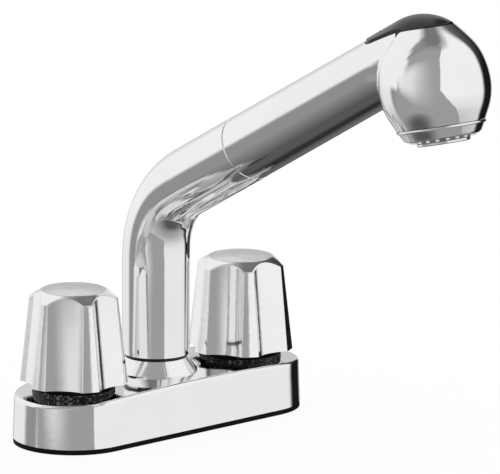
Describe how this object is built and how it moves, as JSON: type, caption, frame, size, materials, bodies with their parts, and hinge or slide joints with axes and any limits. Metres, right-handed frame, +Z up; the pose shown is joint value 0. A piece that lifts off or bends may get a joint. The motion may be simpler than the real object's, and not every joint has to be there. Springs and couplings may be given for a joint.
{
  "type": "utility sink faucet",
  "caption": "Centreset utility sink faucet with scalloped knobs, a swivelling bent spout and a pull-out spray wand whose head carries a rocker diverter.",
  "frame": {"origin": "middle of the base on the plane of the sink deck, under the gasket", "axes": "+X from the hot knob to the cold knob, -Y to the front where the spout points, +Z up"},
  "size_m": [0.1562, 0.2284, 0.2719],
  "materials": {
    "chrome_cast": "polished chrome plating on the cast base and collar",
    "chrome_tube": "polished chrome plating on the drawn spout and the wand",
    "chrome_knob": "polished chrome plating on the moulded knobs",
    "index_metal": "satin chrome disc, slightly darker than the knob",
    "brass": "machined brass",
    "steel": "plain stainless steel",
    "ceramic": "lapped white ceramic",
    "black_rubber": "matt black rubber",
    "black_plastic": "black moulded plastic with a soft sheen",
    "white_plastic": "white acetal",
    "grey_plastic": "grey moulded plastic",
    "nozzle_rubber": "soft grey silicone"
  },
  "bodies": {
    "base": {"base_shell": "chrome_cast", "collar": "chrome_cast", "waterway": "brass", "hot_inlet_shank": "brass", "cold_inlet_shank": "brass", "sleeve_nut": "brass", "swivel_sleeve": "brass", "deck_washers": "steel", "hot_fixed_disc": "ceramic", "cold_fixed_disc": "ceramic", "base_gasket": "black_rubber", "seat_seals": "black_rubber", "stem_seals": "black_rubber", "glide_ring": "black_plastic", "seat_rings": "black_plastic", "hot_bonnet_nut": "black_plastic", "cold_bonnet_nut": "black_plastic", "hot_cartridge_body": "black_plastic", "cold_cartridge_body": "black_plastic", "deck_locknuts": "black_plastic", "wear_rings": "white_plastic"},
    "hot_handle": {"hot_knob": "chrome_knob", "hot_index_cap": "index_metal", "hot_handle_screw": "steel", "hot_valve_stem": "brass", "hot_turning_disc": "ceramic"},
    "cold_handle": {"cold_knob": "chrome_knob", "cold_index_cap": "index_metal", "cold_handle_screw": "steel", "cold_valve_stem": "brass", "cold_turning_disc": "ceramic"},
    "spout": {"spout_tube": "chrome_tube", "dock_bushing": "white_plastic", "swivel_set_screw": "steel"},
    "wand": {"wand_shell": "chrome_tube", "dock_nose": "grey_plastic", "hose_connector": "brass", "check_valve": "white_plastic", "wand_waterway": "grey_plastic", "rocker_pin": "steel", "bezel_ring": "chrome_tube", "spray_plate": "grey_plastic", "nozzle_ring": "nozzle_rubber", "face_seal": "black_rubber", "aerator": "white_plastic"},
    "rocker": {"rocker": "black_plastic"},
    "diverter": {"diverter_spool": "grey_plastic"}
  },
  "joints": [
    {"name": "hot_turn", "type": "hinge", "parent": "base", "child": "hot_handle", "pos_m": [-0.0508, 0, 0.03], "axis": [0, 0, 1], "range_deg": [0, 90]},
    {"name": "cold_turn", "type": "hinge", "parent": "base", "child": "cold_handle", "pos_m": [0.0508, 0, 0.03], "axis": [0, 0, 1], "range_deg": [-90, 0]},
    {"name": "spout_swivel", "type": "hinge", "parent": "base", "child": "spout", "pos_m": [0, 0.0012, 0.05], "axis": [0, 0, 1], "range_deg": [-90, 90]},
    {"name": "wand_pull", "type": "slide", "parent": "spout", "child": "wand", "axis": [0, -0.8746, 0.4848], "range_m": [0, 0.45]},
    {"name": "rocker_tilt", "type": "hinge", "parent": "wand", "child": "rocker", "pos_m": [0, -0.153, 0.1999], "axis": [1, 0, 0], "range_deg": [0, 4]},
    {"name": "diverter_push", "type": "slide", "parent": "wand", "child": "diverter", "axis": [0, 0.2334, 0.9724], "range_m": [-0.0014, 0]}
  ],
  "couplings": [
    {"joint": "diverter_push", "follows": "rocker_tilt", "m_per_rad": -0.0184}
  ]
}
